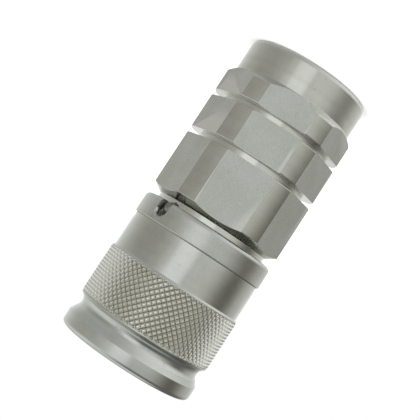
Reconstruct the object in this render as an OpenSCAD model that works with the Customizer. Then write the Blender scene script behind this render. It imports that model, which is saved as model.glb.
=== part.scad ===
/* [Rear adapter] */
// Height of the round bar above the land that the sleeve slides on
shoulder = 2.9; // [2.4:0.1:3.4]
// Depth of the six flats below the round bar, at the middle of a flat
flat_depth = 1.35; // [0.8:0.05:1.5]
// Step from the round bar down to the plain rear end
tail_step = 1.7; // [1.6:0.1:3]
// Length of the plain rear end
tail_len = 8.8; // [6:0.2:14]
// Radius of the rounded rear edge
tail_round = 1.3; // [0.6:0.1:2]
// Length of the rear set of flats, its chamfer included
rear_flats_len = 7.6; // [5:0.2:14]
// Width of the turned groove between the two sets of flats
groove_w = 1.75; // [1:0.05:3]
// Depth of that groove and of the joint below the round bar
groove_depth = 3.2; // [2.4:0.1:4]
// Length of the second set of flats
mid_flats_len = 9.8; // [6:0.2:16]
// Space left between the adapter and the body at their joint
joint_w = 1.8; // [1:0.05:3]
// Core diameter of the pipe thread in the port
port_core_d = 18.6; // [17:0.1:19]
// Width of the chamfer at the mouth of the port
port_chamfer = 1.4; // [1:0.1:2.2]
// Depth of the pipe thread
port_depth = 15; // [10:0.5:18]
// Step from the thread core down to the bore in front of the port
passage_step = 1.8; // [1:0.1:3.3]
// Length of the threaded neck that screws into the body
neck_len = 6.7; // [6:0.1:9]
// Wall of that neck
neck_wall = 4.45; // [4.2:0.05:5.5]

/* [Body] */
// Length of the flats on the body
body_flats_len = 15.4; // [15:0.2:24]
// Length of the chamfer in front of those flats
body_chamfer_len = 1.8; // [1:0.1:2.6]
// Wall of the nose round the socket
nose_wall = 3.15; // [3.05:0.05:3.25]
// Height of the land that the sleeve collar slides on above the nose
guide_step = 0.65; // [0.4:0.05:0.9]
// Distance of the nose face behind the front of the flange
nose_recess = 0.4; // [0:0.1:1]
// Distance from the nose face back to the locking balls
ball_back = 11; // [10.6:0.1:11.4]
// Diameter of a locking ball
ball_d = 4.5; // [4.3:0.05:4.6]
// Number of locking balls
ball_count = 12; // [8:1:13]
// Step from the socket out to the bore in which the valve flange slides
rear_bore_step = 0.75; // [0.5:0.05:0.9]
// Step from that bore out to the thread of the neck
neck_step = 0.9; // [0.7:0.05:1.1]
// Diameter of the safety ball
safety_ball_d = 3.5; // [3:0.1:3.6]
// Depth of the safety ball below the face of the collar
safety_ball_sunk = 0.85; // [0.5:0.05:1.3]

/* [Sleeve] */
// Space between the body and the sleeve at rest
sleeve_gap = 1.4; // [1.2:0.1:3]
// Height of the notched collar above the smooth band
collar_proud = 0.5; // [0.2:0.1:1]
// Length of the notched collar
collar_len = 6.1; // [5.6:0.1:8]
// Radius of the collar's rounded rear edge
collar_round = 1.3; // [0.6:0.1:1.5]
// Length of the collar's spigot inside the sleeve
spigot_len = 2.8; // [2:0.1:3.2]
// Width of the safety notch
notch_w = 3.9; // [3.7:0.1:4.4]
// Length of the safety notch
notch_len = 4.5; // [4.4:0.1:5]
// Angle of the safety notch, round from the middle of the front flat
notch_angle = 42; // [0:1:90]
// Space round the nose for the sleeve spring
spring_room = 1.85; // [1.85:0.05:2.1]
// Length of the smooth band
band_len = 9.9; // [9.6:0.1:14]
// Wall of the smooth band round that space
chamber_wall = 1.25; // [1.1:0.05:1.5]
// Height of the knurl above the smooth band
knurl_proud = 0.65; // [0.5:0.05:1]
// Depth of the knurl
knurl_depth = 0.62; // [0.3:0.01:0.7]
// Length of the knurled band, its chamfer and plain edge included
knurl_len = 15; // [14.4:0.1:18]
// Diamonds round the knurl
knurl_count = 70; // [48:1:80]
// Width of the plain edge in front of the knurl
knurl_edge = 0.35; // [0.3:0.05:0.8]
// Depth of the waist below the front flange
waist_depth = 1.6; // [1.2:0.1:1.7]
// Radius of the waist
waist_round = 2.3; // [2:0.1:2.6]
// Height of the front flange above the smooth band
flange_proud = 0.7; // [0.5:0.1:1]
// Length of the front flange
flange_len = 5; // [4.6:0.1:7]
// Radius of the flange's rounded front edge
flange_round = 1.6; // [0.8:0.1:1.8]
// Length of the land that holds the balls in once the halves are joined
land_len = 4.7; // [4:0.1:5]
// How far the sleeve slides back from rest
sleeve_travel = 1.1; // [0.6:0.1:1.1]
// How far the sleeve springs forward once the halves are joined
lock_travel = 4; // [3.6:0.1:4]

/* [Valve] */
// Outside diameter of the valve sleeve, which is that of the mating half
valve_d = 24.44; // [23.6:0.02:28]
// Wall of the valve sleeve round the stem head that closes it
front_wall = 3.64; // [3.3:0.02:4.4]
// Length of the stem head
head_len = 6.5; // [6:0.1:9]
// Diameter of the stem shaft
shaft_d = 6.4; // [5.6:0.1:8]
// Diameter of the stem's threaded end
stem_thread_d = 4.9; // [4:0.1:5]
// Length of the bore that seals on the stem head
seal_bore_len = 16.5; // [12:0.5:18]
// Wall of the valve sleeve round its spring
valve_wall = 1.5; // [1.2:0.05:1.6]
// Length of the flange at the tail of the valve sleeve
valve_flange_len = 3; // [2:0.1:3.4]
// Distance from the nose face back to that flange
valve_flange_back = 28; // [27.6:0.1:28.2]
// Thickness of the stem carrier
carrier_len = 4; // [3:0.1:4.4]
// Diameter of the stem carrier's hub
hub_d = 9; // [8.4:0.1:9.6]
// Height of the hub in front of the carrier
hub_len = 2; // [1:0.1:4]
// Width of the flow slots in the carrier
slot_w = 3.2; // [2:0.1:3.4]
// Number of flow slots in the carrier
slot_count = 3; // [2:1:4]
// Width across the flats of the stem nut
nut_w = 8; // [7:0.1:9]
// Height of the stem nut
nut_len = 3.8; // [3:0.1:5]

/* [Springs and rings] */
// Wire diameter of the sleeve spring
sleeve_wire_d = 1.2; // [0.8:0.05:1.25]
// Turns of the sleeve spring
sleeve_turns = 4; // [3:0.5:4.5]
// Wire diameter of the valve spring
valve_wire_d = 1.5; // [1:0.05:1.55]
// Turns of the valve spring
valve_turns = 8; // [5:0.5:9]
// Thickness of the spring washer
washer_t = 0.8; // [0.5:0.05:1]
// Wire diameter of the stop ring
stop_wire_d = 1.2; // [1:0.05:1.3]
// Section diameter of the seals in the body
seal_d = 2; // [1.6:0.05:2.1]
// Thickness of a backup ring
backup_t = 1.1; // [0.8:0.05:1.3]
// Section diameter of the stem seal
stem_seal_d = 1.7; // [1.4:0.05:1.9]
// Section diameter of the joint seal
joint_seal_d = 2; // [1.6:0.05:2.2]

/* [Hidden] */
$fn = 96;

// Clearances, on the radius or along the axis
slide_fit = 0.1;    // sleeve on the body
bore_fit = 0.08;    // valve sleeve on the stem head
ball_fit = 0.05;    // round a ball
ring_fit = 0.03;    // between a ring and the face that it slides on or sits in
spring_fit = 0.3;   // beside the spring washer and the valve spring
edge = 0.25;        // broken edges
mouth = 0.5;        // chamfer of a bore's mouth
knurl_relief = 0.1; // between the knurl and its plain edges
past = 1;           // how far a cutter runs past the face it cuts

// Radii, from the valve sleeve outward
valve_r = valve_d / 2;
socket_r = valve_r + bore_fit;
rear_bore_r = socket_r + rear_bore_step;
valve_flange_r = rear_bore_r - slide_fit;
neck_r = rear_bore_r + neck_step;
neck_bore_r = neck_r - neck_wall;
nose_r = socket_r + nose_wall;
guide_r = nose_r + guide_step;
bar_r = guide_r + shoulder;
flats_r = bar_r - flat_depth;
tail_r = bar_r - tail_step;
groove_r = bar_r - groove_depth;
chamber_r = nose_r + spring_room;
band_r = chamber_r + chamber_wall;
collar_r = band_r + collar_proud;
knurl_r = band_r + knurl_proud;
flange_r = band_r + flange_proud;
waist_centre_r = flange_r - waist_depth + waist_round;
port_core_r = port_core_d / 2;
passage_r = port_core_r - passage_step;

// Stations along the axis, from the port face forward
rear_flats_end = tail_len + rear_flats_len;
mid_flats_start = rear_flats_end + groove_w;
mid_flats_end = mid_flats_start + mid_flats_len;
body_start = mid_flats_end + joint_w;
body_flats_end = body_start + body_flats_len;
guide_start = body_flats_end + body_chamfer_len;
neck_end = body_start + neck_len;
carrier_end = neck_end + carrier_len;
collar_start = guide_start + sleeve_gap;
collar_end = collar_start + collar_len;
spigot_end = collar_end + spigot_len;
guide_end = spigot_end + lock_travel + 2 * slide_fit;
knurl_start = collar_end + band_len;
knurl_end = knurl_start + knurl_len;
waist_half = sqrt(pow(waist_round, 2) - pow(waist_centre_r - flange_r, 2));
waist_z = knurl_end + waist_half;
flange_end = waist_z + waist_half + flange_len;
nose_end = flange_end - nose_recess;

// Locking balls, and the inside of the sleeve that works on them
ball_r = ball_d / 2;
ball_lip = 0.2;
ball_z = nose_end - ball_back;
ball_centre_r = valve_r + ball_r + ball_fit;
land_r = nose_r + slide_fit;
recess_r = ball_centre_r + ball_r + 3 * ball_fit;
ramp_z = ball_z - ball_r * sqrt(2) - ball_centre_r + land_r - ball_fit * sqrt(2);
recess_front_z = ball_z + 0.7 * ball_r + sleeve_travel;
spring_stop_z = ramp_z - land_len;
washer_end = guide_end + washer_t;
stop_z = nose_end - stop_wire_d;
stop_centre_r = nose_r + stop_wire_d / 4;
counterbore_r = stop_centre_r + stop_wire_d / 2 + spring_fit;
counterbore_z = stop_z - stop_wire_d / 2 - lock_travel;

// Safety ball, in the middle of the notch's end when the sleeve is right back
safety_ball_r = safety_ball_d / 2;
safety_ball_z = collar_start + notch_len - notch_w / 2 - sleeve_travel;
safety_ball_centre_r = collar_r - safety_ball_sunk - safety_ball_r;

// Seal grooves in the socket, and the lands beside them
ball_land = 1;
seal_land = 3;
groove_len = 1.2 * seal_d + backup_t;
seal_floor_r = valve_r + seal_d + 2 * ring_fit;
probe_groove_z = ball_z - ball_r - ball_land - groove_len;
valve_groove_z = probe_groove_z - seal_land - groove_len;

// Seal groove on the neck
joint_land = 1;
joint_groove_len = 1.2 * joint_seal_d;
joint_groove_z = neck_end - joint_land - joint_groove_len;

// Valve
valve_flange_z = nose_end - valve_flange_back;
valve_tail_z = valve_flange_z - valve_flange_len;
valve_bore_r = valve_r - valve_wall;
head_bore_r = valve_r - front_wall;
head_r = head_bore_r - bore_fit;
seal_bore_z = nose_end - seal_bore_len;
hub_end = carrier_end + hub_len;
stem_groove_len = 1.3 * stem_seal_d;
stem_groove_z = nose_end - head_len / 2 - stem_groove_len / 2;
stem_tail = 1;
stem_start = neck_end - nut_len - stem_tail;

// The springs, and the flow slots inside the valve spring
sleeve_spring_r = nose_r + spring_room / 2;
valve_spring_r = valve_bore_r - spring_fit - valve_wire_d / 2;
slot_margin = 0.52;
slot_bridge_turn = 48;
slot_centre_r = valve_spring_r - valve_wire_d / 2 - slot_margin - slot_w / 2;
slot_turn = 360 / slot_count - slot_bridge_turn;

// A profile with its outer corner rounded: the outline has a flat there, which a quarter disc fills
module rounded(radius, x, z, up) {
    children();
    translate([x, z]) intersection() {
        circle(r = radius);
        translate([0, up ? 0 : -radius]) square(radius);
    }
}

module round_ring(section_d, centre_r, z) {
    rotate_extrude() translate([centre_r, z]) circle(d = section_d);
}

module flat_ring(inner_r, outer_r, z, len) {
    translate([0, 0, z]) difference() {
        cylinder(r = outer_r, h = len);
        translate([0, 0, -past]) cylinder(r = inner_r, h = len + 2 * past);
    }
}

module six_flats(z, len) {
    translate([0, 0, z]) cylinder(r = flats_r / cos(30), h = len, $fn = 6);
}

module adapter_outline() {
    rounded(tail_round, tail_r - tail_round, tail_round, false) polygon([
        [port_core_r, 0],
        [tail_r - tail_round, 0],
        [tail_r, tail_round],
        [tail_r, tail_len],
        [bar_r, tail_len + bar_r - tail_r],
        [bar_r, rear_flats_end - edge],
        [bar_r - edge, rear_flats_end],
        [groove_r, rear_flats_end],
        [groove_r, mid_flats_start],
        [bar_r - edge, mid_flats_start],
        [bar_r, mid_flats_start + edge],
        [bar_r, mid_flats_end - edge],
        [bar_r - edge, mid_flats_end],
        [groove_r, mid_flats_end],
        [groove_r, body_start],
        [neck_r, body_start],
        [neck_r, neck_end - edge],
        [neck_r - edge, neck_end],
        [neck_bore_r, neck_end],
        [neck_bore_r, mid_flats_end],
        [passage_r, mid_flats_end - neck_bore_r + passage_r],
        [passage_r, port_depth + passage_step],
        [port_core_r, port_depth]
    ]);
}

module rear_adapter() {
    color("silver") difference() {
        intersection() {
            rotate_extrude() adapter_outline();
            six_flats(-past, neck_end + 2 * past);
        }
        translate([0, 0, -past])
            cylinder(r1 = port_core_r + port_chamfer + past, r2 = port_core_r - past / 2,
                h = port_chamfer + 1.5 * past);
        flat_ring(neck_r - joint_seal_d - ring_fit, neck_r + past, joint_groove_z, joint_groove_len);
    }
}

module joint_seal() {
    color("dimgray")
        round_ring(joint_seal_d, neck_r - joint_seal_d / 2, joint_groove_z + joint_groove_len / 2);
}

module body_outline() {
    polygon([
        [neck_r + ring_fit, body_start],
        [bar_r - edge, body_start],
        [bar_r, body_start + edge],
        [bar_r, body_flats_end],
        [guide_r + edge, guide_start],
        [guide_r, guide_start],
        [guide_r, guide_end],
        [nose_r, guide_end],
        [nose_r, nose_end - edge],
        [nose_r - edge, nose_end],
        [socket_r + mouth, nose_end],
        [socket_r, nose_end - mouth],
        [socket_r, valve_flange_z + ring_fit],
        [rear_bore_r, valve_flange_z + ring_fit],
        [rear_bore_r, carrier_end],
        [neck_r + ring_fit, carrier_end]
    ]);
}

module ball_hole() {
    hole_r = ball_r + ball_fit;
    lip_r = ball_r - ball_lip;
    translate([ball_centre_r - ball_r / 2, 0, ball_z]) rotate([0, 90, 0])
        cylinder(r = hole_r, h = nose_r - ball_centre_r + ball_r / 2 + past);
    translate([socket_r - past, 0, ball_z]) rotate([0, 90, 0])
        cylinder(r = lip_r, h = 2 * past);
    translate([socket_r, 0, ball_z]) rotate([0, 90, 0])
        cylinder(r1 = lip_r, r2 = hole_r, h = ball_centre_r - ball_r / 2 - socket_r);
}

module coupler_body() {
    color("silver") difference() {
        intersection() {
            rotate_extrude() body_outline();
            six_flats(body_start - past, nose_end - body_start + 2 * past);
        }
        for (z = [probe_groove_z, valve_groove_z])
            translate([0, 0, z]) cylinder(r = seal_floor_r, h = groove_len);
        for (i = [0 : ball_count - 1]) rotate(i * 360 / ball_count) ball_hole();
        rotate(notch_angle - 90)
            translate([safety_ball_centre_r - safety_ball_r - ring_fit, 0, safety_ball_z])
                rotate([0, 90, 0]) cylinder(r = safety_ball_r + ring_fit, h = bar_r);
        round_ring(stop_wire_d + 2 * ring_fit, stop_centre_r, stop_z);
    }
}

module locking_balls() {
    color("lightgray") for (i = [0 : ball_count - 1]) rotate(i * 360 / ball_count)
        translate([ball_centre_r, 0, ball_z]) sphere(r = ball_r);
}

module safety_ball() {
    color("gray") rotate(notch_angle - 90)
        translate([safety_ball_centre_r, 0, safety_ball_z]) sphere(r = safety_ball_r);
}

module probe_seal() {
    color("dimgray")
        round_ring(seal_d, valve_r + ring_fit + seal_d / 2, probe_groove_z + 0.6 * seal_d);
}

module probe_backup_ring() {
    color("ivory") flat_ring(valve_r + ring_fit, seal_floor_r - ring_fit,
        probe_groove_z + groove_len - backup_t, backup_t);
}

module valve_seal() {
    color("dimgray")
        round_ring(seal_d, valve_r + ring_fit + seal_d / 2, valve_groove_z + 0.6 * seal_d);
}

module valve_backup_ring() {
    color("ivory") flat_ring(valve_r + ring_fit, seal_floor_r - ring_fit,
        valve_groove_z + groove_len - backup_t, backup_t);
}

module flow_slot() {
    rotate(-slot_turn / 2) rotate_extrude(angle = slot_turn)
        translate([slot_centre_r - slot_w / 2, neck_end - past])
            square([slot_w, carrier_len + 2 * past]);
    for (side = [-1, 1]) rotate(side * slot_turn / 2)
        translate([slot_centre_r, 0, neck_end - past])
            cylinder(d = slot_w, h = carrier_len + 2 * past);
}

module stem_carrier() {
    color("darkgray") difference() {
        union() {
            translate([0, 0, neck_end]) cylinder(r = neck_r, h = carrier_len);
            translate([0, 0, neck_end]) cylinder(d = hub_d, h = hub_end - neck_end);
        }
        translate([0, 0, neck_end - past])
            cylinder(r = stem_thread_d / 2 + ring_fit, h = hub_end - neck_end + 2 * past);
        for (i = [0 : slot_count - 1]) rotate(i * 360 / slot_count) flow_slot();
    }
}

module stem_nut() {
    color("gray") translate([0, 0, neck_end - nut_len]) difference() {
        cylinder(d = nut_w / cos(30), h = nut_len, $fn = 6);
        translate([0, 0, -past]) cylinder(r = stem_thread_d / 2 + ring_fit, h = nut_len + 2 * past);
    }
}

module valve_stem() {
    color("lightgray") difference() {
        rotate_extrude() polygon([
            [0, stem_start],
            [stem_thread_d / 2 - edge, stem_start],
            [stem_thread_d / 2, stem_start + edge],
            [stem_thread_d / 2, hub_end],
            [shaft_d / 2, hub_end],
            [shaft_d / 2, nose_end - head_len - head_r + shaft_d / 2],
            [head_r, nose_end - head_len],
            [head_r, nose_end - edge],
            [head_r - edge, nose_end],
            [0, nose_end]
        ]);
        flat_ring(head_r - stem_seal_d, head_r + past, stem_groove_z, stem_groove_len);
    }
}

module stem_seal() {
    color("dimgray") round_ring(stem_seal_d, head_bore_r - ring_fit - stem_seal_d / 2,
        stem_groove_z + stem_groove_len / 2);
}

module valve_sleeve() {
    color("lightgray") rotate_extrude() polygon([
        [valve_bore_r, valve_tail_z],
        [valve_flange_r - edge, valve_tail_z],
        [valve_flange_r, valve_tail_z + edge],
        [valve_flange_r, valve_flange_z],
        [valve_r, valve_flange_z],
        [valve_r, nose_end - edge],
        [valve_r - edge, nose_end],
        [head_bore_r + edge, nose_end],
        [head_bore_r, nose_end - edge],
        [head_bore_r, seal_bore_z],
        [valve_bore_r, seal_bore_z]
    ]);
}

// A coil spring on closed ends, as one tube of few sides along its helix
function coil_rise(t, turns, wire, run) =
    let (dead = 0.8, lift = 1.03 * wire)
    t < dead ? lift * t
    : t > turns - dead ? run - lift * (turns - t)
    : lift * dead + (t - dead) * (run - 2 * lift * dead) / (turns - 2 * dead);

module coil_spring(mean_r, wire, turns, z0, z1, sides, steps) {
    rings = ceil(turns * steps);
    run = z1 - z0 - wire;
    points = [for (i = [0 : rings], k = [0 : sides - 1])
        let (t = turns * i / rings, turn = 360 * t, side = 360 * (k + 0.5) / sides,
            r = mean_r + wire / 2 * cos(side))
        [r * cos(turn), r * sin(turn),
            z0 + wire / 2 + coil_rise(t, turns, wire, run) + wire / 2 * sin(side)]];
    walls = [for (i = [0 : rings - 1], k = [0 : sides - 1])
        let (a = i * sides + k, b = i * sides + (k + 1) % sides)
        each [[a, b, b + sides], [a, b + sides, a + sides]]];
    ends = [[for (k = [sides - 1 : -1 : 0]) k], [for (k = [0 : sides - 1]) rings * sides + k]];
    polyhedron(points, concat(walls, ends), convexity = 10);
}

module valve_spring() {
    color("gray") coil_spring(valve_spring_r, valve_wire_d, valve_turns, carrier_end, seal_bore_z, 6, 14);
}

module spring_washer() {
    color("gray") flat_ring(nose_r + ring_fit, chamber_r - spring_fit, guide_end, washer_t);
}

module sleeve_spring() {
    color("gray") coil_spring(sleeve_spring_r, sleeve_wire_d, sleeve_turns, washer_end, spring_stop_z, 8, 20);
}

module stop_ring() {
    gap_turn = 24;
    color("dimgray") rotate(gap_turn / 2) rotate_extrude(angle = 360 - gap_turn)
        translate([stop_centre_r, stop_z]) circle(d = stop_wire_d);
}

module sleeve_outline() {
    difference() {
        rounded(flange_round, flange_r - flange_round, flange_end - flange_round, true) polygon([
            [chamber_r, collar_end],
            [band_r - edge, collar_end],
            [band_r, collar_end + edge],
            [band_r, knurl_start],
            [knurl_edge_r, knurl_bed_start - knurl_relief],
            [knurl_edge_r, knurl_bed_start],
            [knurl_bed_r, knurl_bed_start],
            [knurl_bed_r, knurl_bed_end],
            [knurl_edge_r, knurl_bed_end],
            [knurl_edge_r, knurl_end],
            [flange_r, waist_z],
            [flange_r, flange_end - flange_round],
            [flange_r - flange_round, flange_end],
            [counterbore_r + edge, flange_end],
            [counterbore_r, flange_end - edge],
            [counterbore_r, counterbore_z],
            [land_r, counterbore_z],
            [land_r, recess_front_z + recess_r - land_r],
            [recess_r, recess_front_z],
            [recess_r, ramp_z + recess_r - land_r],
            [land_r, ramp_z],
            [land_r, spring_stop_z],
            [chamber_r, spring_stop_z]
        ]);
        translate([waist_centre_r, waist_z]) circle(r = waist_round);
    }
}

// The knurl: rows of four-sided points, each row half a step round from the last
knurl_edge_drop = 0.12;
knurl_bed_drop = 0.06;
knurl_skin = 0.3;
knurl_edge_r = knurl_r - knurl_edge_drop;
knurl_valley_r = knurl_r - knurl_depth;
knurl_bed_r = knurl_valley_r - knurl_bed_drop;
knurl_bed_start = knurl_start + knurl_edge_r - band_r + knurl_relief;
knurl_bed_end = knurl_end - knurl_edge;
knurl_z = knurl_bed_start + knurl_relief;
knurl_run = knurl_bed_end - knurl_bed_start - 2 * knurl_relief;
knurl_rows = 2 * round(knurl_run * knurl_count / (2 * PI * knurl_r));

function ring_point(r, turn, z) = [r * cos(turn), r * sin(turn), z];

module knurl() {
    n = knurl_count;
    last = knurl_rows;
    step = 360 / n;
    rise = knurl_run / last;
    skin = [for (i = [0 : last], j = [0 : n - 1], top = [0, 1])
        ring_point(top == 1 ? knurl_r : knurl_valley_r, (j + (i % 2 + top) / 2) * step,
            knurl_z + i * rise)];
    lining = [for (z = [0, knurl_run], k = [0 : 2 * n - 1])
        ring_point(knurl_bed_r - knurl_skin, k * step / 2, knurl_z + z)];
    inner = len(skin);
    points = [for (i = [0 : last], j = [0 : n - 1])
        let (a = 2 * (i * n + j), b = a + 1, c = 2 * (i * n + (j + 1) % n),
            next = 2 * ((j + i % 2) % n), up = 2 * (i + 1) * n + next, down = 2 * (i - 1) * n + next)
        each concat(i < last ? [[a, up, b], [up, c, b]] : [], i > 0 ? [[c, down, b], [down, a, b]] : [])];
    ends = [for (k = [0 : 2 * n - 1])
        let (m = (k + 1) % (2 * n), over = 2 * n * last)
        each [
            [k, m, inner + m], [k, inner + m, inner + k],
            [over + m, over + k, inner + 2 * n + k], [over + m, inner + 2 * n + k, inner + 2 * n + m],
            [inner + k, inner + m, inner + 2 * n + m], [inner + k, inner + 2 * n + m, inner + 2 * n + k]
        ]];
    polyhedron(concat(skin, lining), concat(points, ends), convexity = 10);
}

module locking_sleeve() {
    color("silver") union() {
        rotate_extrude() sleeve_outline();
        knurl();
    }
}

module sleeve_collar() {
    color("silver") difference() {
        rotate_extrude()
            rounded(collar_round, collar_r - collar_round, collar_start + collar_round, false)
            polygon([
                [guide_r + slide_fit, collar_start],
                [collar_r - collar_round, collar_start],
                [collar_r, collar_start + collar_round],
                [collar_r, collar_end - edge],
                [collar_r - edge, collar_end],
                [chamber_r - ring_fit, collar_end],
                [chamber_r - ring_fit, spigot_end],
                [guide_r + slide_fit, spigot_end]
            ]);
        rotate(notch_angle - 90) {
            translate([guide_r - past, -notch_w / 2, collar_start - past])
                cube([collar_r - guide_r + 2 * past, notch_w, notch_len - notch_w / 2 + past]);
            translate([guide_r - past, 0, collar_start + notch_len - notch_w / 2])
                rotate([0, 90, 0]) cylinder(d = notch_w, h = collar_r - guide_r + 2 * past);
        }
    }
}

rear_adapter();
joint_seal();
coupler_body();
locking_balls();
safety_ball();
probe_seal();
probe_backup_ring();
valve_seal();
valve_backup_ring();
stem_carrier();
stem_nut();
valve_stem();
stem_seal();
valve_sleeve();
valve_spring();
spring_washer();
sleeve_spring();
stop_ring();
locking_sleeve();
sleeve_collar();
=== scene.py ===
import bpy
import bmesh
import math
from mathutils import Matrix, Vector


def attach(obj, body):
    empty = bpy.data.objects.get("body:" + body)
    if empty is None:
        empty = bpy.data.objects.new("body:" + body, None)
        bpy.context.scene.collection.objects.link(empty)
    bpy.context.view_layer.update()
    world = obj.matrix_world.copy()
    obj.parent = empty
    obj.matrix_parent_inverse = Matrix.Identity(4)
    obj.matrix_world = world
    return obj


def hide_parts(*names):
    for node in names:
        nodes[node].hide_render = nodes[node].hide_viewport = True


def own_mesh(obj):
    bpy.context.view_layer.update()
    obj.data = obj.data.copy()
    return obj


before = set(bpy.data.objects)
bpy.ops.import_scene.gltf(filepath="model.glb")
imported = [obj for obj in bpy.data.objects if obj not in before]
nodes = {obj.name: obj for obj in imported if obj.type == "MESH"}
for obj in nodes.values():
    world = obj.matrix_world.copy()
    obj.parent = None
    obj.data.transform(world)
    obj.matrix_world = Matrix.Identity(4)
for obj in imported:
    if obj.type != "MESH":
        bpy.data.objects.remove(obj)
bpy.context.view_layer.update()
mm = 0.001
fullTurn = 2 * math.pi


# ---- node helpers ----

def addNode(tree, kind, values=None, **settings):
    made = tree.nodes.new(kind)
    for name, value in settings.items():
        setattr(made, name, value)
    for name, value in (values or {}).items():
        socket = made.inputs[name]
        if isinstance(value, bpy.types.NodeSocket):
            tree.links.new(value, socket)
        else:
            socket.default_value = value
    return made


def mathNode(tree, operation, *values, clamp=False):
    made = tree.nodes.new("ShaderNodeMath")
    made.operation = operation
    made.use_clamp = clamp
    for i, value in enumerate(values):
        if isinstance(value, bpy.types.NodeSocket):
            tree.links.new(value, made.inputs[i])
        else:
            made.inputs[i].default_value = value
    return made.outputs[0]


def mixColour(tree, factor, first, second, blend="MIX"):
    made = addNode(tree, "ShaderNodeMix", data_type="RGBA", blend_type=blend)
    for socket, value in ((made.inputs[0], factor), (made.inputs[6], first), (made.inputs[7], second)):
        if isinstance(value, bpy.types.NodeSocket):
            tree.links.new(value, socket)
        else:
            socket.default_value = value
    return made.outputs[2]


def spread(tree, value, low, high, outLow=0.0, outHigh=1.0):
    made = addNode(tree, "ShaderNodeMapRange", interpolation_type="SMOOTHSTEP")
    tree.links.new(value, made.inputs[0])
    for i, number in enumerate((low, high, outLow, outHigh)):
        made.inputs[i + 1].default_value = number
    return made.outputs[0]


def newGroup(name, inputs, outputs):
    group = bpy.data.node_groups.new(name, "ShaderNodeTree")
    for label, kind, value in inputs:
        socket = group.interface.new_socket(label, in_out="INPUT", socket_type=kind)
        socket.default_value = value
    for label, kind in outputs:
        group.interface.new_socket(label, in_out="OUTPUT", socket_type=kind)
    return group, group.nodes.new("NodeGroupInput").outputs, group.nodes.new("NodeGroupOutput").inputs


def useGroup(tree, group, **values):
    made = tree.nodes.new("ShaderNodeGroup")
    made.node_tree = group
    for name, value in values.items():
        socket = made.inputs[name]
        if isinstance(value, bpy.types.NodeSocket):
            tree.links.new(value, socket)
        else:
            socket.default_value = value
    return made.outputs


# Lathe marks: fine rings that change along the axis and along the radius, and hardly round the turn
def makeTurnedGroup():
    group, given, out = newGroup(
        "turnedMarks",
        [("Spacing", "NodeSocketFloat", 0.00025), ("Drift", "NodeSocketFloat", 60.0)],
        [("Rings", "NodeSocketFloat"), ("Bands", "NodeSocketFloat"), ("Radius", "NodeSocketFloat")],
    )
    where = addNode(group, "ShaderNodeTexCoord").outputs["Object"]
    parts = addNode(group, "ShaderNodeSeparateXYZ", {0: where}).outputs
    flat = addNode(group, "ShaderNodeCombineXYZ", {0: parts[0], 1: parts[1]}).outputs[0]
    radius = addNode(group, "ShaderNodeVectorMath", {0: flat}, operation="LENGTH").outputs["Value"]
    across = mathNode(group, "DIVIDE", radius, given["Spacing"])
    along = mathNode(group, "DIVIDE", parts[2], given["Spacing"])
    sideways = mathNode(group, "MULTIPLY", parts[0], given["Drift"])
    place = addNode(group, "ShaderNodeCombineXYZ", {0: across, 1: along, 2: sideways}).outputs[0]
    rings = addNode(group, "ShaderNodeTexNoise", {"Vector": place, "Scale": 1.0, "Detail": 2.0, "Roughness": 0.6})
    slow = addNode(group, "ShaderNodeVectorMath", {0: place, "Scale": 0.12}, operation="SCALE").outputs[0]
    bands = addNode(group, "ShaderNodeTexNoise", {"Vector": slow, "Scale": 1.0, "Detail": 1.0})
    group.links.new(rings.outputs[0], out["Rings"])
    group.links.new(bands.outputs[0], out["Bands"])
    group.links.new(radius, out["Radius"])
    return group


# Plating: fine speckle, soft clouds and small stains
def makePlatingGroup():
    group, given, out = newGroup(
        "platingMarks",
        [("Grain Scale", "NodeSocketFloat", 4200.0), ("Cloud Scale", "NodeSocketFloat", 130.0)],
        [("Grain", "NodeSocketFloat"), ("Clouds", "NodeSocketFloat"), ("Stains", "NodeSocketFloat")],
    )
    where = addNode(group, "ShaderNodeTexCoord").outputs["Object"]
    grain = addNode(
        group, "ShaderNodeTexNoise",
        {"Vector": where, "Scale": given["Grain Scale"], "Detail": 3.0, "Roughness": 0.65},
    )
    clouds = addNode(
        group, "ShaderNodeTexNoise",
        {"Vector": where, "Scale": given["Cloud Scale"], "Detail": 4.0, "Roughness": 0.55},
    )
    spots = addNode(
        group, "ShaderNodeTexNoise",
        {"Vector": where, "Scale": 620.0, "Detail": 2.0, "Roughness": 0.5, "Distortion": 0.6},
    )
    group.links.new(grain.outputs[0], out["Grain"])
    group.links.new(clouds.outputs[0], out["Clouds"])
    group.links.new(spread(group, spots.outputs[0], 0.66, 0.78), out["Stains"])
    return group


turnedGroup = makeTurnedGroup()
platingGroup = makePlatingGroup()


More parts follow.
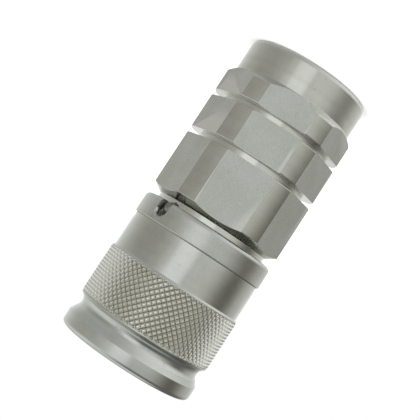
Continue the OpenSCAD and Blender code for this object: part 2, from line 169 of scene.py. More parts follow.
def metal(name, light, dark, roughness, rings=0.5, grain=0.5, bump=0.02, stains=0.25,
          spacing=0.00025, anisotropic=0.0, shadedPits=None, wearAndGlint=0.0):
    made = bpy.data.materials.new(name)
    made.use_nodes = True
    tree = made.node_tree
    tree.nodes.clear()
    turned = useGroup(tree, turnedGroup, Spacing=spacing)
    plating = useGroup(tree, platingGroup)
    shade = mathNode(
        tree, "ADD",
        mathNode(tree, "MULTIPLY", mathNode(tree, "SUBTRACT", turned["Bands"], 0.5), 1.2 * rings),
        mathNode(tree, "MULTIPLY", mathNode(tree, "SUBTRACT", plating["Clouds"], 0.5), 1.6),
    )
    speckle = mathNode(tree, "MULTIPLY", mathNode(tree, "SUBTRACT", plating["Grain"], 0.5), 3.0 * grain)
    blend = mathNode(tree, "ADD", 0.5, mathNode(tree, "ADD", shade, speckle), clamp=True)
    colour = mixColour(tree, blend, (*dark, 1), (*light, 1))
    colour = mixColour(
        tree, mathNode(tree, "MULTIPLY", plating["Stains"], stains), colour,
        (dark[0] * 0.62, dark[1] * 0.60, dark[2] * 0.54, 1),
    )
    # wearAndGlint brightens the edges found by Pointiness: partly real wear, partly painted highlight for glints
    # along the edges
    point = addNode(tree, "ShaderNodeNewGeometry").outputs["Pointiness"]
    edges = mathNode(tree, "MULTIPLY", spread(tree, point, 0.54, 0.62), wearAndGlint)
    colour = mixColour(tree, edges, colour, (0.80, 0.79, 0.76, 1))
    # painted shade: darker towards the valleys of the knurl's grooves, by radius
    if shadedPits:
        pitShade = spread(tree, turned["Radius"], shadedPits[0] * mm, shadedPits[1] * mm)
        colour = mixColour(tree, pitShade, (dark[0] * 0.42, dark[1] * 0.39, dark[2] * 0.34, 1), colour)
    rough = mathNode(
        tree, "ADD", roughness,
        mathNode(
            tree, "ADD",
            mathNode(tree, "MULTIPLY", mathNode(tree, "SUBTRACT", turned["Rings"], 0.5), 0.18 * rings),
            mathNode(tree, "MULTIPLY", mathNode(tree, "SUBTRACT", plating["Clouds"], 0.5), 0.22),
        ),
    )
    height = mathNode(
        tree, "ADD",
        mathNode(tree, "MULTIPLY", turned["Rings"], rings),
        mathNode(tree, "MULTIPLY", plating["Grain"], grain),
    )
    normal = addNode(tree, "ShaderNodeBump", {"Height": height, "Strength": 1.0, "Distance": bump * mm})
    shader = addNode(
        tree, "ShaderNodeBsdfPrincipled",
        {"Base Color": colour, "Metallic": 1.0, "Roughness": rough, "Normal": normal.outputs[0],
         "Anisotropic": anisotropic},
    )
    addNode(tree, "ShaderNodeOutputMaterial", {"Surface": shader.outputs[0]})
    return made


def softStuff(name, light, dark, roughness, bump=0.01, subsurface=0.0):
    made = bpy.data.materials.new(name)
    made.use_nodes = True
    tree = made.node_tree
    tree.nodes.clear()
    plating = useGroup(tree, platingGroup, **{"Grain Scale": 2600.0, "Cloud Scale": 300.0})
    colour = mixColour(tree, plating["Clouds"], (*dark, 1), (*light, 1))
    rough = spread(tree, plating["Grain"], 0.3, 0.7, roughness - 0.06, roughness + 0.06)
    normal = addNode(
        tree, "ShaderNodeBump", {"Height": plating["Grain"], "Strength": 1.0, "Distance": bump * mm},
    )
    shader = addNode(
        tree, "ShaderNodeBsdfPrincipled",
        {"Base Color": colour, "Roughness": rough, "Normal": normal.outputs[0],
         "Subsurface Weight": subsurface, "Subsurface Scale": 0.0005},
    )
    addNode(tree, "ShaderNodeOutputMaterial", {"Surface": shader.outputs[0]})
    return made


steel = {
    "turned": metal("turned_plate", (0.67, 0.685, 0.64), (0.54, 0.555, 0.495), 0.14, rings=0.5, grain=0.25),
    "flats": metal("milled_flats", (0.66, 0.68, 0.645), (0.49, 0.51, 0.46), 0.46, rings=0.0, grain=1.1, bump=0.03,
                   wearAndGlint=0.6),
    # lighter copy of the turned plating: painted highlight for the groove floors and the body showing between hex and
    # sleeve
    "groove": metal("groove_floor_painted_sheen", (0.74, 0.75, 0.71), (0.62, 0.63, 0.57), 0.15, rings=0.5, grain=0.1),
    "sleeve": metal("sleeve_plate", (0.65, 0.67, 0.64), (0.53, 0.55, 0.50), 0.19, rings=0.5, grain=0.3),
    # lighter copy of the sleeve plating: worn crests, and painted sheen where the knurl's facets catch the light
    "knurl": metal("knurl_plate_worn_sheen", (0.86, 0.865, 0.81), (0.74, 0.745, 0.68), 0.26, rings=0.0, grain=0.4,
                   bump=0.01, shadedPits=(18.57, 18.70)),
    "collar": metal("collar_plate", (0.65, 0.67, 0.645), (0.52, 0.54, 0.49), 0.28, rings=0.4, grain=0.6),
    "thread": metal("thread_plate", (0.62, 0.625, 0.58), (0.50, 0.505, 0.45), 0.33, rings=0.2, grain=0.3),
    "valve": metal("valve_plate", (0.68, 0.685, 0.64), (0.56, 0.565, 0.51), 0.22, rings=0.9, grain=0.15,
                   wearAndGlint=0.0),
    "inner": metal("inner_steel", (0.52, 0.515, 0.49), (0.40, 0.395, 0.37), 0.34, rings=0.4, grain=0.4),
    "spring": metal("spring_wire", (0.42, 0.41, 0.39), (0.30, 0.295, 0.28), 0.30, rings=0.0, grain=0.5),
    "ball": metal("ball_chrome", (0.72, 0.71, 0.69), (0.62, 0.61, 0.59), 0.10, rings=0.0, grain=0.1, bump=0.004),
    # dark copy for the safety ball: painted shade, standing for the dark inside of the collar's notch
    "shadedBall": metal("ball_painted_shade", (0.30, 0.30, 0.28), (0.20, 0.20, 0.19), 0.28, rings=0.0, grain=0.3),
}
rubber = softStuff("seal_rubber_look", (0.032, 0.032, 0.034), (0.018, 0.018, 0.019), 0.42)
plastic = softStuff("backup_plastic_look", (0.78, 0.75, 0.68), (0.68, 0.65, 0.58), 0.38, subsurface=0.1)
print("materials made")


# ---- shape helpers, in millimetres ----

# A line of corners (r, z, rounding) with every rounded corner drawn as a short arc
def smoothLine(corners, closed=True, steps=4):
    line = []
    count = len(corners)
    for i, corner in enumerate(corners):
        here = Vector(corner[:2])
        radius = corner[2] if len(corner) > 2 else 0
        atEnd = not closed and i in (0, count - 1)
        if not radius or atEnd:
            line.append(tuple(here))
            continue
        before = Vector(corners[i - 1][:2]) - here
        after = Vector(corners[(i + 1) % count][:2]) - here
        angle = before.angle(after)
        if angle > math.radians(178):
            line.append(tuple(here))
            continue
        cut = min(radius / math.tan(angle / 2), 0.49 * before.length, 0.49 * after.length)
        radius = cut * math.tan(angle / 2)
        start = here + before.normalized() * cut
        centre = here + (before.normalized() + after.normalized()).normalized() * (radius / math.sin(angle / 2))
        first = start - centre
        swing = (here + after.normalized() * cut - centre)
        turn = first.angle_signed(swing)
        for k in range(steps + 1):
            a = -turn * k / steps
            spot = centre + Vector((
                first.x * math.cos(a) - first.y * math.sin(a),
                first.x * math.sin(a) + first.y * math.cos(a),
            ))
            line.append((spot.x, spot.y))
    return line


def spinLine(bm, line, steps, closed=True):
    verts = [bm.verts.new((r * mm, 0, z * mm)) for r, z in line]
    edges = [bm.edges.new(pair) for pair in zip(verts, verts[1:])]
    if closed:
        edges.append(bm.edges.new((verts[-1], verts[0])))
    bmesh.ops.spin(
        bm, geom=verts + edges, cent=(0, 0, 0), axis=(0, 0, 1), angle=fullTurn, steps=steps, use_merge=True,
    )
    bmesh.ops.remove_doubles(bm, verts=bm.verts, dist=0.0005 * mm)


# Cuts six flats, closes each cut and rounds its border
def millFlats(bm, distance, rounding, index):
    flats = []
    for i in range(6):
        turn = math.radians(60 * i + 30)
        way = Vector((math.cos(turn), math.sin(turn), 0))
        cut = bmesh.ops.bisect_plane(
            bm, geom=bm.verts[:] + bm.edges[:] + bm.faces[:], dist=0.0001 * mm,
            plane_co=way * distance * mm, plane_no=way, clear_outer=True,
        )
        rim = [e for e in cut["geom_cut"] if isinstance(e, bmesh.types.BMEdge)]
        filled = bmesh.ops.edgeloop_fill(bm, edges=rim, mat_nr=index)
        flats += filled["faces"]
    bmesh.ops.recalc_face_normals(bm, faces=bm.faces)
    border = {e for f in flats for e in f.edges}
    bmesh.ops.bevel(
        bm, geom=list(border), offset=rounding * mm, segments=2, profile=0.5, affect="EDGES",
        clamp_overlap=True, material=-1,
    )


def paintFaces(bm, index, test):
    for face in bm.faces:
        middle = face.calc_center_median()
        if test(math.hypot(middle.x, middle.y) / mm, middle.z / mm, face):
            face.material_index = index


def toObject(bm, name, materials):
    bmesh.ops.recalc_face_normals(bm, faces=bm.faces)
    for face in bm.faces:
        face.smooth = True
    for edge in bm.edges:
        if len(edge.link_faces) == 2 and edge.calc_face_angle() > math.radians(32):
            edge.smooth = False
    mesh = bpy.data.meshes.new(name)
    bm.to_mesh(mesh)
    bm.free()
    made = bpy.data.objects.new(name, mesh)
    bpy.context.scene.collection.objects.link(made)
    for material in materials:
        mesh.materials.append(material)
    return made


def bake(made):
    graph = bpy.context.evaluated_depsgraph_get()
    mesh = bpy.data.meshes.new_from_object(made.evaluated_get(graph))
    made.modifiers.clear()
    made.data = mesh


def cutAway(made, cutter):
    change = made.modifiers.new("cut", "BOOLEAN")
    change.operation = "DIFFERENCE"
    change.solver = "EXACT"
    change.object = cutter
    bake(made)
    bpy.data.objects.remove(cutter)


def finishPiece(made, body, slotName, *replaced):
    change = made.modifiers.new("weights", "WEIGHTED_NORMAL")
    change.keep_sharp = True
    change.weight = 80
    bake(made)
    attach(made, body)
    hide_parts(*replaced)
    print("made", made.name, len(made.data.polygons))


# A closed round plug along a spoke, through stations (distance from the axis, radius)
def radialPlug(bm, stations, turn, z, segments=32):
    rings = []
    for x, r in stations:
        ring = []
        for i in range(segments):
            a = fullTurn * i / segments
            spot = Vector((x, r * math.cos(a), z + r * math.sin(a))) * mm
            ring.append(bm.verts.new(Matrix.Rotation(turn, 3, "Z") @ spot))
        rings.append(ring)
    for low, high in zip(rings, rings[1:]):
        for i in range(segments):
            k = (i + 1) % segments
            bm.faces.new((low[i], low[k], high[k], high[i]))
    bm.faces.new(rings[0])
    bm.faces.new(rings[-1])


# ---- rear adapter ----

adapter = {
    "barR": 19.0, "flats": 17.65, "tailR": 17.3, "grooveR": 15.8, "neckR": 13.95, "neckBoreR": 9.5,
    "passageR": 7.5, "coreR": 9.3, "mouthR": 10.7, "tailEnd": 8.8, "chamferEnd": 10.5, "rearFlatsEnd": 16.4,
    "midFlatsStart": 18.15, "midFlatsEnd": 27.95, "bodyStart": 29.75, "neckEnd": 36.45, "portDepth": 15.0,
    "threadR": 10.46, "pitch": 1.814, "threadStart": 0.2, "fade": 2.2, "turnSteps": 216, "rows": 118,
}


def makeAdapter(s):
    bm = bmesh.new()
    line = smoothLine([
        (s["coreR"], s["portDepth"]),
        (s["passageR"], s["portDepth"] + s["coreR"] - s["passageR"], 0.1),
        (s["passageR"], s["midFlatsEnd"] - s["neckBoreR"] + s["passageR"], 0.1),
        (s["neckBoreR"], s["midFlatsEnd"], 0.1),
        (s["neckBoreR"], s["neckEnd"], 0.1),
        (s["neckR"] - 0.25, s["neckEnd"]),
        (s["neckR"], s["neckEnd"] - 0.25),
        (s["neckR"], s["bodyStart"]),
        (s["grooveR"], s["bodyStart"], 0.1),
        (s["grooveR"], s["midFlatsEnd"], 0.1),
        (s["barR"], s["midFlatsEnd"], 0.3),
        (s["barR"], s["midFlatsStart"], 0.3),
        (s["grooveR"], s["midFlatsStart"], 0.1),
        (s["grooveR"], s["rearFlatsEnd"], 0.1),
        (s["barR"], s["rearFlatsEnd"], 0.3),
        (s["barR"], s["chamferEnd"], 0.2),
        (s["tailR"], s["tailEnd"], 0.2),
        (s["tailR"], 0, 1.3),
        (s["mouthR"], 0, 0.12),
        (s["mouthR"] - s["threadStart"], s["threadStart"]),
    ], closed=False, steps=5)
    spinLine(bm, line, s["turnSteps"], closed=False)
    # the thread, as one helical surface from the mouth's chamfer to the end of the bore
    top, bottom = s["portDepth"], s["threadStart"]
    rings = []
    for j in range(s["rows"] + 1):
        z = bottom + (top - bottom) * j / s["rows"]
        fade = min(1, max(0, (top - 0.4 - z) / s["fade"]))
        cone = s["mouthR"] - z
        ring = []
        for i in range(s["turnSteps"]):
            phase = (z / s["pitch"] - i / s["turnSteps"]) % 1
            rise = min(1, max(0, abs(2 * phase - 1) * 1.45 - 0.22))
            r = max(s["coreR"] + (s["threadR"] - s["coreR"]) * rise * fade, cone)
            turn = fullTurn * i / s["turnSteps"]
            ring.append(bm.verts.new((r * math.cos(turn) * mm, r * math.sin(turn) * mm, z * mm)))
        rings.append(ring)
    for low, high in zip(rings, rings[1:]):
        for i in range(s["turnSteps"]):
            k = (i + 1) % s["turnSteps"]
            bm.faces.new((low[i], low[k], high[k], high[i])).material_index = 3
    bmesh.ops.remove_doubles(bm, verts=bm.verts, dist=0.002 * mm)
    millFlats(bm, s["flats"], 0.09, 1)
    # the groove floors take the lighter copy: painted highlight
    paintFaces(bm, 2, lambda r, z, f: f.material_index == 0 and r > 13.9 and r < s["grooveR"] + 0.15
               and (s["rearFlatsEnd"] < z < s["midFlatsStart"] or s["midFlatsEnd"] < z < s["bodyStart"]))
    made = toObject(bm, "adapter_shell", [steel["turned"], steel["flats"], steel["groove"], steel["thread"]])
    finishPiece(made, "housing", "plated_adapter", "rear_adapter")
    return made


makeAdapter(adapter)


# ---- body ----

body = {
    "barR": 19.0, "flats": 17.65, "guideR": 16.1, "noseR": 15.45, "socketR": 12.3, "rearBoreR": 13.05,
    "neckR": 13.98, "start": 29.75, "flatsEnd": 45.15, "chamferEnd": 46.95, "guideEnd": 61.45,
    "noseEnd": 88.332, "carrierEnd": 40.45, "valveStop": 60.362, "sealFloorR": 14.28, "sealLen": 3.5,
    "sealStarts": (70.58, 64.08), "ballZ": 77.332, "ballR": 2.25, "ballCentreR": 14.52, "ballCount": 12,
    "stopZ": 87.132, "stopR": 15.75, "stopGroove": 0.63, "notchTurn": 42 - 90, "safetyZ": 49.8,
    "safetyR": 1.78, "safetyFloor": 14.67, "turnSteps": 216,
}


def makeBody(s):
    bm = bmesh.new()
    corners = [
        (s["neckR"], s["start"]),
        (s["barR"], s["start"], 0.3),
        (s["barR"], s["flatsEnd"], 0.2),
        (s["guideR"] + 0.25, s["chamferEnd"]),
        (s["guideR"], s["chamferEnd"], 0.1),
        (s["guideR"], s["guideEnd"], 0.15),
        (s["noseR"], s["guideEnd"]),
    ]
    for k in range(9):
        a = math.radians(-180 + 180 * k / 8)
        corners.append((
            s["stopR"] - s["stopGroove"] * abs(math.sin(a)) if 0 < k < 8 else s["noseR"],
            s["stopZ"] + s["stopGroove"] * 0.9 * math.cos(a),
        ))
    corners += [
        (s["noseR"], s["noseEnd"], 0.25),
        (s["socketR"] + 0.5, s["noseEnd"], 0.05),
        (s["socketR"], s["noseEnd"] - 0.5, 0.05),
    ]
    for z in s["sealStarts"]:
        corners += [
            (s["socketR"], z + s["sealLen"]), (s["sealFloorR"], z + s["sealLen"]),
            (s["sealFloorR"], z), (s["socketR"], z),
        ]
    corners += [
        (s["socketR"], s["valveStop"]), (s["rearBoreR"], s["valveStop"]),
        (s["rearBoreR"], s["carrierEnd"]), (s["neckR"], s["carrierEnd"]),
    ]
    spinLine(bm, smoothLine(corners, steps=4), s["turnSteps"])
    millFlats(bm, s["flats"], 0.09, 1)
    # the guide cylinder showing between hex and sleeve takes the lighter groove copy: painted highlight
    paintFaces(bm, 2, lambda r, z, f: f.material_index == 0 and r < s["guideR"] + 0.3 and z < s["guideEnd"])
    made = toObject(bm, "body_shell", [steel["turned"], steel["flats"], steel["groove"]])
    holes = bmesh.new()
    for i in range(s["ballCount"]):
        turn = fullTurn * i / s["ballCount"]
        radialPlug(holes, [
            (s["socketR"] - 1, s["ballR"] - 0.2), (s["socketR"], s["ballR"] - 0.2),
            (s["ballCentreR"] - 1.1, s["ballR"] + 0.05), (s["noseR"] + 1, s["ballR"] + 0.05),
        ], turn, s["ballZ"])
    cutAway(made, toObject(holes, "holes", []))
    seat = bmesh.new()
    radialPlug(seat, [(s["safetyFloor"], s["safetyR"]), (s["barR"], s["safetyR"])],
               math.radians(s["notchTurn"]), s["safetyZ"], 48)
    cutAway(made, toObject(seat, "seat", []))
    finishPiece(made, "housing", "plated_body", "coupler_body")
    return made


makeBody(body)


# ---- locking sleeve ----

sleeve = {
    "chamberR": 17.3, "bandR": 18.55, "bandStart": 54.45, "knurlStart": 64.35, "knurlEnd": 79.35,
    "edgeR": 19.08, "crestR": 19.19, "valleyR": 18.58, "latticeStart": 64.98, "latticeEnd": 79.0,
    "waistZ": 81.541, "waistR": 2.3, "waistCentreR": 19.95, "flangeR": 19.25, "end": 88.732,
    "round": 2.0, "chamferR": 18.5, "chamferStart": 83.55, "chamferEnd": 84.75, "counterR": 16.65, "counterZ": 82.532, "landR": 15.55, "recessR": 16.92,
    "recessFront": 80.007, "ramp": 75.11, "springStop": 70.41, "around": 70, "halfRows": 16,
}


def makeSleeve(s):
    bm = bmesh.new()
    columns = s["around"] * 6
    half = math.sqrt(s["waistR"] ** 2 - (s["waistCentreR"] - s["flangeR"]) ** 2)
    first = math.asin((s["waistCentreR"] - s["flangeR"]) / s["waistR"])
    # from the lattice forward over the waist and the flange, through the inside, and back to the lattice
    corners = [
        (s["crestR"] - 0.35, s["latticeEnd"]),
        (s["edgeR"], s["latticeEnd"], 0.08),
        (s["edgeR"], s["waistZ"] - half, 0.12),
    ]
    for k in range(1, 16):
        a = first + (math.pi - 2 * first) * k / 16
        r = s["waistCentreR"] - s["waistR"] * math.sin(a)
        if k < 8 or r < s["chamferR"] - 0.05:
            corners.append((r, s["waistZ"] - s["waistR"] * math.cos(a)))
    corners += [
        (s["chamferR"], s["chamferStart"], 0.2),
        (s["flangeR"], s["chamferEnd"], 0.1),
        (s["flangeR"], s["end"], s["round"]),
        (s["counterR"], s["end"], 0.25),
        (s["counterR"], s["counterZ"]),
        (s["landR"], s["counterZ"], 0.1),
        (s["landR"], s["recessFront"] + s["recessR"] - s["landR"], 0.1),
        (s["recessR"], s["recessFront"]),
        (s["recessR"], s["ramp"] + s["recessR"] - s["landR"]),
        (s["landR"], s["ramp"], 0.1),
        (s["landR"], s["springStop"]),
        (s["chamberR"], s["springStop"]),
        (s["chamberR"], s["bandStart"], 0.1),
        (s["bandR"], s["bandStart"], 0.22),
        (s["bandR"], s["knurlStart"], 0.12),
        (s["edgeR"], s["knurlStart"] + s["edgeR"] - s["bandR"], 0.06),
        (s["edgeR"], s["latticeStart"], 0.02),
        (s["crestR"] - 0.35, s["latticeStart"]),
    ]
    spinLine(bm, smoothLine(corners, closed=False, steps=5), columns, closed=False)
    # the knurl: each point is a small flat crest with four sides down to crossing grooves
    unit = (s["latticeEnd"] - s["latticeStart"]) / s["halfRows"]
    rings = []
    for j in range(3 * s["halfRows"] + 1):
        z = s["latticeStart"] + unit * j / 3
        ring = []
        for i in range(columns):
            turn = fullTurn * i / columns
            x, y = i / 3, j / 3
            best = 2.0
            for a in (math.floor(x), math.floor(x) + 1):
                for b in (math.floor(y), math.floor(y) + 1):
                    if (a + b) % 2 == 0:
                        best = min(best, abs(x - a) + abs(y - b))
            fall = min(1, max(0, (best - 1 / 3) * 1.5))
            r = s["crestR"] - (s["crestR"] - s["valleyR"]) * fall
            if j in (0, 3 * s["halfRows"]):
                r = s["crestR"] - 0.35
            ring.append(bm.verts.new((r * math.cos(turn) * mm, r * math.sin(turn) * mm, z * mm)))
        rings.append(ring)
    for j, (low, high) in enumerate(zip(rings, rings[1:])):
        for i in range(columns):
            k = (i + 1) % columns
            x, y = i // 3, j // 3
            if (x + y) % 2 == 0:
                pair = ((low[i], low[k], high[i]), (low[k], high[k], high[i]))
            else:
                pair = ((low[i], low[k], high[k]), (low[i], high[k], high[i]))
            for face in pair:
                bm.faces.new(face).material_index = 1
    bmesh.ops.remove_doubles(bm, verts=bm.verts, dist=0.002 * mm)
    made = toObject(bm, "sleeve_shell", [steel["sleeve"], steel["knurl"]])
    finishPiece(made, "sleeve", "knurled_steel", "locking_sleeve")
    return made


makeSleeve(sleeve)


# ---- sleeve collar ----

collar = {
    "innerR": 16.2, "outerR": 19.05, "start": 48.35, "end": 54.45, "round": 1.3, "spigotR": 17.27,
    "spigotEnd": 57.25, "notchW": 3.9, "notchLen": 4.5, "turn": 42 - 90, "turnSteps": 216,
}


def makeCollar(s):
    bm = bmesh.new()
    line = smoothLine([
        (s["innerR"], s["start"], 0.15), (s["outerR"], s["start"], s["round"]),
        (s["outerR"], s["end"], 0.25), (s["spigotR"], s["end"]),
        (s["spigotR"], s["spigotEnd"], 0.1), (s["innerR"], s["spigotEnd"], 0.1),
    ], steps=5)
    spinLine(bm, line, s["turnSteps"])
    made = toObject(bm, "collar_ring", [steel["collar"]])
    cutter = bmesh.new()
    half = s["notchW"] / 2
    floor = s["start"] + s["notchLen"] - half
    outline = [(-half, s["start"] - 1), (-half, floor)]
    outline += [(-half * math.cos(math.pi * k / 16), floor + half * math.sin(math.pi * k / 16)) for k in range(1, 16)]
    outline += [(half, floor), (half, s["start"] - 1)]
    face = cutter.faces.new([cutter.verts.new((14 * mm, y * mm, z * mm)) for y, z in outline])
    pushed = bmesh.ops.extrude_face_region(cutter, geom=[face])
    bmesh.ops.translate(
        cutter, vec=(7 * mm, 0, 0), verts=[v for v in pushed["geom"] if isinstance(v, bmesh.types.BMVert)],
    )
    bmesh.ops.rotate(cutter, verts=cutter.verts, cent=(0, 0, 0), matrix=Matrix.Rotation(math.radians(s["turn"]), 3, "Z"))
    cutAway(made, toObject(cutter, "notch", []))
    finishPiece(made, "sleeve", "collar_steel", "sleeve_collar")
    return made


makeCollar(collar)


# ---- safety ball, staked in its seat ----

safety = {"radius": 1.75, "centreR": 16.45, "z": 49.8, "turn": 42 - 90}


def makeSafetyBall(s):
    bm = bmesh.new()
    turn = math.radians(s["turn"])
    bmesh.ops.create_icosphere(
        bm, subdivisions=4, radius=s["radius"] * mm,
        matrix=Matrix.Translation((s["centreR"] * math.cos(turn) * mm, s["centreR"] * math.sin(turn) * mm, s["z"] * mm)),
    )
    # the ball's dark colour is painted shade for the notch it sits in
    made = toObject(bm, "staked_ball", [steel["shadedBall"]])
    finishPiece(made, "housing", "dark_ball_steel", "safety_ball")


makeSafetyBall(safety)


# ---- valve sleeve, stem and stop ring ----

valve = {
    "outerR": 12.22, "boreR": 10.72, "headBoreR": 8.58, "flangeR": 12.95, "flangeZ": 60.332,
    "tailZ": 57.332, "sealBoreZ": 71.832, "end": 88.332, "turnSteps": 144,
}
stem = {
    "threadR": 2.45, "start": 31.65, "hubEnd": 42.45, "shaftR": 3.2, "headR": 8.5, "headStart": 81.832,
    "coneStart": 76.532, "end": 88.332, "grooveR": 6.8, "grooveStart": 83.977, "grooveEnd": 86.187,
    "socketR": 2.0, "turnSteps": 96, "pitch": 0.8,
}
stopper = {"wireR": 0.6, "ringR": 15.75, "z": 87.132, "gap": 24, "steps": 120, "sides": 12}


def makeValveSleeve(s):
    bm = bmesh.new()
    spinLine(bm, smoothLine([
        (s["boreR"], s["tailZ"]), (s["flangeR"], s["tailZ"], 0.25), (s["flangeR"], s["flangeZ"], 0.06),
        (s["outerR"], s["flangeZ"]), (s["outerR"], s["end"], 0.3), (s["headBoreR"], s["end"], 0.3),
        (s["headBoreR"], s["sealBoreZ"], 0.1), (s["boreR"], s["sealBoreZ"]),
    ], steps=4), s["turnSteps"])
    made = toObject(bm, "valve_shell", [steel["valve"]])
    finishPiece(made, "valve", "valve_steel", "valve_sleeve")


def makeStem(s):
    bm = bmesh.new()
    corners = [(0, s["start"]), (s["threadR"], s["start"], 0.25)]
    crest = s["start"] + 0.6
    while crest < 35.6:
        corners += [(s["threadR"], crest, 0.05), (s["threadR"] - 0.4, crest + s["pitch"] / 2, 0.05)]
        crest += s["pitch"]
    corners += [
        (s["threadR"], 36.4), (s["threadR"], s["hubEnd"]), (s["shaftR"], s["hubEnd"], 0.1),
        (s["shaftR"], s["coneStart"], 0.6), (s["headR"], s["headStart"], 0.3),
        (s["headR"], s["grooveStart"], 0.08), (s["grooveR"], s["grooveStart"]),
        (s["grooveR"], s["grooveEnd"]), (s["headR"], s["grooveEnd"], 0.08),
        (s["headR"], s["end"], 0.3), (0.9, s["end"], 0.05), (0, s["end"] - 0.5),
    ]
    spinLine(bm, smoothLine(corners, closed=False, steps=4), s["turnSteps"], closed=False)
    made = toObject(bm, "stem_shell", [steel["valve"]])
    finishPiece(made, "housing", "valve_steel", "valve_stem")


def makeStopRing(s):
    bm = bmesh.new()
    start = math.radians(s["gap"] / 2)
    ring = bmesh.ops.create_circle(
        bm, cap_ends=True, segments=s["sides"], radius=s["wireR"] * mm,
        matrix=Matrix.Rotation(start, 4, "Z") @ Matrix.Translation((s["ringR"] * mm, 0, s["z"] * mm))
        @ Matrix.Rotation(math.radians(90), 4, "X"),
    )
    bmesh.ops.spin(
        bm, geom=ring["verts"] + bm.edges[:] + bm.faces[:], cent=(0, 0, 0), axis=(0, 0, 1),
        angle=math.radians(360 - s["gap"]), steps=s["steps"],
    )
    made = toObject(bm, "stop_wire", [steel["spring"]])
    finishPiece(made, "housing", "spring_steel", "stop_ring")


makeValveSleeve(valve)
makeStem(stem)
makeStopRing(stopper)


# ---- springs: coils of round wire with closed ends, between their seats ----

coils = [
    {"name": "sleeve_coil", "node": "sleeve_spring", "joint": "sleeve_slide", "radius": 16.375, "wire": 0.6,
     "turns": 4, "start": 62.25, "end": 70.41, "keep": 0.86, "steps": 30, "sides": 10},
    {"name": "valve_coil", "node": "valve_spring", "joint": "valve_slide", "radius": 9.67, "wire": 0.75,
     "turns": 8, "start": 40.45, "end": 71.832, "keep": 0.485, "steps": 28, "sides": 10},
]


def makeCoil(s):
    bm = bmesh.new()
    dead, lift = 0.8, 2.06 * s["wire"]
    run = s["end"] - s["start"] - 2 * s["wire"]
    total = s["turns"] * s["steps"]
    rings = []
    for i in range(total + 1):
        t = s["turns"] * i / total
        if t < dead:
            rise = lift * t
        elif t > s["turns"] - dead:
            rise = run - lift * (s["turns"] - t)
        else:
            rise = lift * dead + (t - dead) * (run - 2 * lift * dead) / (s["turns"] - 2 * dead)
        ring = []
        for k in range(s["sides"]):
            a = fullTurn * k / s["sides"]
            r = s["radius"] + s["wire"] * math.cos(a)
            spot = (r * math.cos(fullTurn * t), r * math.sin(fullTurn * t),
                    s["start"] + s["wire"] + rise + s["wire"] * math.sin(a))
            ring.append(bm.verts.new(Vector(spot) * mm))
        rings.append(ring)
    for low, high in zip(rings, rings[1:]):
        for k in range(s["sides"]):
            n = (k + 1) % s["sides"]
            bm.faces.new((low[k], low[n], high[n], high[k]))
    bm.faces.new(rings[0])
    bm.faces.new(rings[-1])
    made = toObject(bm, s["name"], [steel["spring"]])
    finishPiece(made, "housing", "spring_steel", s["node"])
    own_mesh(made)


for coil in coils:
    makeCoil(coil)


# ---- CAD pieces that keep their shape and get a better finish ----

finishes = {
    "joint_seal": rubber, "probe_seal": rubber, "valve_seal": rubber, "stem_seal": rubber,
    "probe_backup_ring": plastic, "valve_backup_ring": plastic, "locking_balls": steel["ball"],
    "stem_carrier": steel["inner"], "stem_nut": steel["inner"], "spring_washer": steel["inner"],
}
for name, material in finishes.items():
    mesh = nodes[name].data
    mesh.materials.clear()
    mesh.materials.append(material)
print("finishes set")


# ---- stage ----

stage = {
    "floor": 4.0, "floorDrop": 0.00005, "albedo": 0.86, "sun": 4.3, "sunSoft": 120, "sunTilt": (18, -12),
    "camera": (0.0, -262.0, 59.5), "aim": (2.7, 0.0, 43.8), "roll": -146.85, "lens": 36 * 1000 / 420,
    "ahead": (0.16, 0.85), "behind": (0.95, 0.50), "top": 0.78,
}

# the room round the part, by the angle from the camera's side toward +X, and its brightness
room = [
    (-180, 1.00), (-145, 0.74), (-115, 0.50), (-94, 0.20), (-74, 0.24), (-56, 0.52), (-38, 0.70),
    (-20, 0.72), (-4, 1.02), (5, 3.5), (15, 3.5), (22, 1.15), (38, 0.60), (52, 0.46), (72, 0.40), (98, 0.44),
    (122, 0.60), (150, 0.82), (180, 1.00),
]


def makeRoom(s):
    world = bpy.data.worlds.new("studio")
    bpy.context.scene.world = world
    world.use_nodes = True
    tree = world.node_tree
    tree.nodes.clear()
    way = addNode(tree, "ShaderNodeTexCoord").outputs["Generated"]
    parts = addNode(tree, "ShaderNodeSeparateXYZ", {0: way}).outputs
    turn = mathNode(tree, "ARCTAN2", parts[0], mathNode(tree, "MULTIPLY", parts[1], -1.0))
    place = mathNode(tree, "ADD", mathNode(tree, "DIVIDE", turn, fullTurn), 0.5)
    ramp = addNode(tree, "ShaderNodeValToRGB", {0: place})
    stops = ramp.color_ramp
    stops.interpolation = "CARDINAL"
    while len(stops.elements) > 1:
        stops.elements.remove(stops.elements[-1])
    for i, (angle, value) in enumerate(room):
        at = (angle + 180) / 360
        stop = stops.elements[0] if i == 0 else stops.elements.new(at)
        stop.position = at
        tint = min(1.0, 0.90 + 0.12 * value)
        stop.color = (value, value * (0.5 + 0.5 * tint), value * tint * tint, 1)
    ahead = spread(tree, parts[2], 0.0, 0.55)
    behind = spread(tree, parts[2], -0.05, -0.7)
    aheadSide = spread(tree, parts[0], -0.25, 0.75, *s["ahead"])
    behindSide = spread(tree, parts[0], -0.6, 0.5, *s["behind"])
    aheadColour = addNode(tree, "ShaderNodeCombineColor", {0: aheadSide, 1: aheadSide, 2: aheadSide}).outputs[0]
    behindColour = addNode(tree, "ShaderNodeCombineColor", {0: behindSide, 1: behindSide, 2: behindSide}).outputs[0]
    colour = mixColour(tree, ahead, ramp.outputs[0], aheadColour)
    colour = mixColour(tree, behind, colour, behindColour)
    top = s["top"]
    colour = mixColour(tree, spread(tree, parts[2], 0.72, 0.97), colour, (top, top, top * 0.98, 1))
    path = addNode(tree, "ShaderNodeLightPath").outputs
    colour = mixColour(tree, path["Is Camera Ray"], colour, (1, 1, 1, 1))
    sky = addNode(tree, "ShaderNodeBackground", {"Color": colour, "Strength": 1.0})
    addNode(tree, "ShaderNodeOutputWorld", {"Surface": sky.outputs[0]})


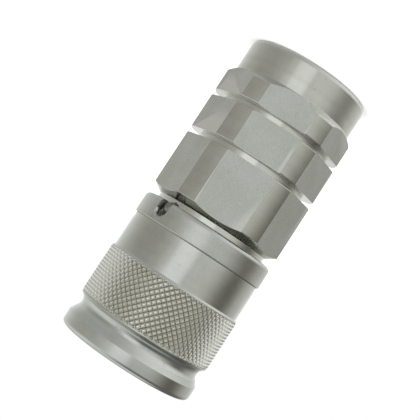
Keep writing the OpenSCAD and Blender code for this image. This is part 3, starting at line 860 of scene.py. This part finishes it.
def makeFloor(s):
    bm = bmesh.new()
    bmesh.ops.create_circle(bm, cap_ends=True, segments=96, radius=s["floor"])
    mesh = bpy.data.meshes.new("floor")
    bm.to_mesh(mesh)
    bm.free()
    floor = bpy.data.objects.new("floor", mesh)
    floor.location.z = -s["floorDrop"]
    bpy.context.scene.collection.objects.link(floor)
    made = bpy.data.materials.new("pale_floor")
    made.use_nodes = True
    tree = made.node_tree
    tree.nodes.clear()
    shade = s["albedo"]
    matt = addNode(tree, "ShaderNodeBsdfDiffuse", {"Color": (shade, shade, shade, 1)})
    clear = addNode(tree, "ShaderNodeBsdfTransparent")
    glossy = addNode(tree, "ShaderNodeLightPath").outputs["Is Glossy Ray"]
    below = addNode(tree, "ShaderNodeNewGeometry").outputs["Backfacing"]
    unseen = mathNode(tree, "MAXIMUM", glossy, below)
    both = addNode(tree, "ShaderNodeMixShader", {0: unseen, 1: matt.outputs[0], 2: clear.outputs[0]})
    addNode(tree, "ShaderNodeOutputMaterial", {"Surface": both.outputs[0]})
    mesh.materials.append(made)


def makeSun(s):
    light = bpy.data.lights.new("soft_sun", "SUN")
    light.energy = s["sun"]
    light.angle = math.radians(s["sunSoft"])
    lamp = bpy.data.objects.new("soft_sun", light)
    lamp.rotation_euler = [math.radians(a) for a in (*s["sunTilt"], 0)]
    lamp.visible_glossy = False
    bpy.context.scene.collection.objects.link(lamp)


def makeCamera(s):
    data = bpy.data.cameras.new("camera")
    data.lens = s["lens"]
    data.sensor_width = 36
    data.clip_start, data.clip_end = 0.01, 20
    camera = bpy.data.objects.new("camera", data)
    bpy.context.scene.collection.objects.link(camera)
    place, aim = Vector(s["camera"]) * mm, Vector(s["aim"]) * mm
    ahead = (aim - place).normalized()
    up = (Vector((0, 0, 1)) - ahead * ahead.z).normalized()
    right = ahead.cross(up)
    roll = math.radians(s["roll"])
    across = right * math.cos(roll) + up * math.sin(roll)
    above = up * math.cos(roll) - right * math.sin(roll)
    camera.matrix_world = Matrix((
        (across.x, above.x, -ahead.x, place.x), (across.y, above.y, -ahead.y, place.y),
        (across.z, above.z, -ahead.z, place.z), (0, 0, 0, 1),
    ))
    bpy.context.scene.camera = camera


makeRoom(stage)
makeFloor(stage)
makeSun(stage)
makeCamera(stage)
bpy.context.scene.view_settings.view_transform = "Standard"
print("stage set")

bpy.context.view_layer.update()
